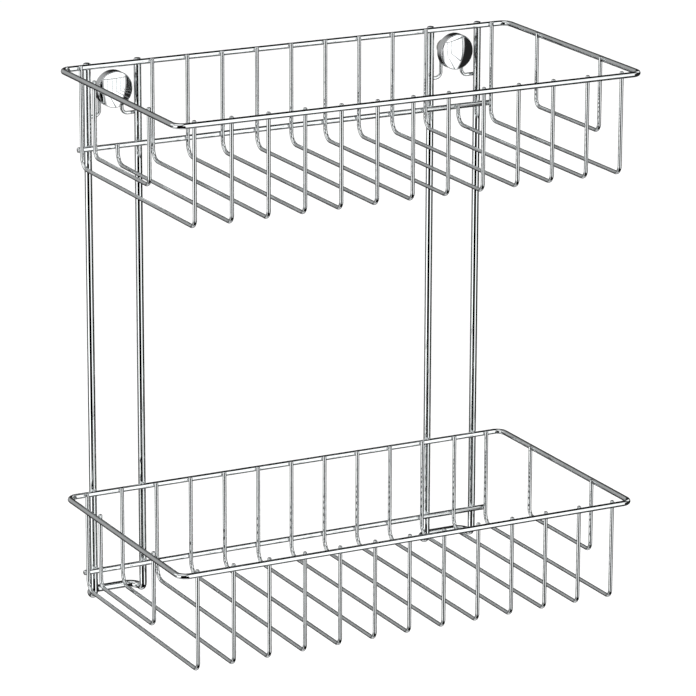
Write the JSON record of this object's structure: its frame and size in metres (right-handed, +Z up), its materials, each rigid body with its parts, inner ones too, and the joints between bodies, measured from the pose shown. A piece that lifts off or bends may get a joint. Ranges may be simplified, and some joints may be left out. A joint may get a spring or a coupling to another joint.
{
  "type": "shower caddy",
  "caption": "Tiered wire rack for a shower wall: open rectangular baskets on looped uprights, hung by small wire arches on round fixings with screw caps.",
  "frame": {"origin": "on the wall plane, midway between the centres of the two wall screw holes", "axes": "+Z up, +X to the right as seen from the room, +Y into the wall, so the baskets stand at negative Y"},
  "size_m": [0.2544, 0.1505, 0.2811],
  "materials": {
    "wire_chrome": "bright chrome plate on drawn steel wire",
    "cap_chrome": "polished chrome plate on a turned cap",
    "turned_metal": "turned and nickel plated",
    "nylon": "natural nylon"
  },
  "bodies": {
    "wall_fixings": {"wall_pillar_left": "turned_metal", "wall_pillar_right": "turned_metal"},
    "rack": {"upper_rim": "wire_chrome", "upper_cross_wire_1": "wire_chrome", "upper_cross_wire_2": "wire_chrome", "upper_cross_wire_3": "wire_chrome", "upper_cross_wire_4": "wire_chrome", "upper_cross_wire_5": "wire_chrome", "upper_cross_wire_6": "wire_chrome", "upper_cross_wire_7": "wire_chrome", "upper_cross_wire_8": "wire_chrome", "upper_cross_wire_9": "wire_chrome", "upper_cross_wire_10": "wire_chrome", "upper_cross_wire_11": "wire_chrome", "upper_cross_wire_12": "wire_chrome", "upper_cross_wire_13": "wire_chrome", "upper_side_hoop_left": "wire_chrome", "upper_side_hoop_right": "wire_chrome", "upper_rear_rail": "wire_chrome", "lower_rim": "wire_chrome", "lower_cross_wire_1": "wire_chrome", "lower_cross_wire_2": "wire_chrome", "lower_cross_wire_3": "wire_chrome", "lower_cross_wire_4": "wire_chrome", "lower_cross_wire_5": "wire_chrome", "lower_cross_wire_6": "wire_chrome", "lower_cross_wire_7": "wire_chrome", "lower_cross_wire_8": "wire_chrome", "lower_cross_wire_9": "wire_chrome", "lower_cross_wire_10": "wire_chrome", "lower_cross_wire_11": "wire_chrome", "lower_cross_wire_12": "wire_chrome", "lower_cross_wire_13": "wire_chrome", "lower_side_hoop_left": "wire_chrome", "lower_side_hoop_right": "wire_chrome", "lower_rear_rail": "wire_chrome", "upright_left": "wire_chrome", "hanger_left": "wire_chrome", "upright_right": "wire_chrome", "hanger_right": "wire_chrome"},
    "washer_left": {"nylon_washer_left": "nylon"},
    "cap_left": {"cap_left": "cap_chrome"},
    "washer_right": {"nylon_washer_right": "nylon"},
    "cap_right": {"cap_right": "cap_chrome"}
  },
  "joints": [
    {"name": "rack_lift", "type": "slide", "parent": "wall_fixings", "child": "rack", "axis": [0, 0, 1], "range_m": [0, 0.016]},
    {"name": "cap_left_turn", "type": "hinge", "parent": "washer_left", "child": "cap_left", "pos_m": [-0.0965, -0.0125, 0], "axis": [0, -1, 0], "range_deg": [0, 900]},
    {"name": "cap_left_travel", "type": "slide", "parent": "wall_fixings", "child": "washer_left", "axis": [0, -1, 0], "range_m": [0, 0.0025]},
    {"name": "cap_right_turn", "type": "hinge", "parent": "washer_right", "child": "cap_right", "pos_m": [0.0965, -0.0125, 0], "axis": [0, -1, 0], "range_deg": [0, 900]},
    {"name": "cap_right_travel", "type": "slide", "parent": "wall_fixings", "child": "washer_right", "axis": [0, -1, 0], "range_m": [0, 0.0025]}
  ],
  "couplings": [
    {"joint": "cap_left_travel", "follows": "cap_left_turn", "m_per_rad": 0.00015915},
    {"joint": "cap_right_travel", "follows": "cap_right_turn", "m_per_rad": 0.00015915}
  ]
}
